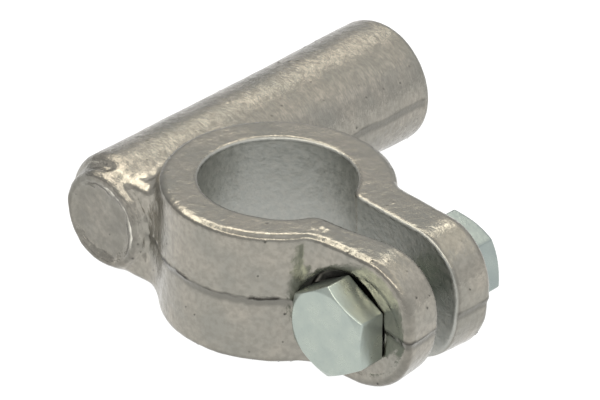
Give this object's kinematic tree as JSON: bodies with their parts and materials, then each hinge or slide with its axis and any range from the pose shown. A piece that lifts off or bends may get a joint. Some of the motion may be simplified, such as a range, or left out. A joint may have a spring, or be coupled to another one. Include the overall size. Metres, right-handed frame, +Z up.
{
  "type": "ground clamp",
  "caption": "Cast post clamp for an earth cable: a split ring with two bolted ears and a side barrel that takes the cable end.",
  "frame": {"origin": "on the axis of the post hole, at the level of the clamp's underside", "axes": "+Z up the post hole's axis, +X from the post towards the two ears, +Y along the bolt from its head to its nut"},
  "size_m": [0.0512, 0.0511, 0.0164],
  "materials": {
    "tinned_casting": "as-cast alloy, tinned, satin with fine grain and a parting line at mid height",
    "zinc_plating": "pale zinc plating, satin"
  },
  "bodies": {
    "clamp": {"clamp_body": "tinned_casting"},
    "bolt": {"pinch_bolt": "zinc_plating"},
    "nut": {"pinch_nut": "zinc_plating"}
  },
  "joints": [
    {"name": "nut_travel", "type": "slide", "parent": "clamp", "child": "nut", "axis": [0, 1, 0], "range_m": [0, 0.00475]},
    {"name": "bolt_turn", "type": "hinge", "parent": "clamp", "child": "bolt", "pos_m": [0.017, -0.0066, 0.0078], "axis": [0, -1, 0], "range_deg": [0, 1710]}
  ],
  "couplings": [
    {"joint": "bolt_turn", "follows": "nut_travel", "rad_per_m": 6283.2}
  ]
}
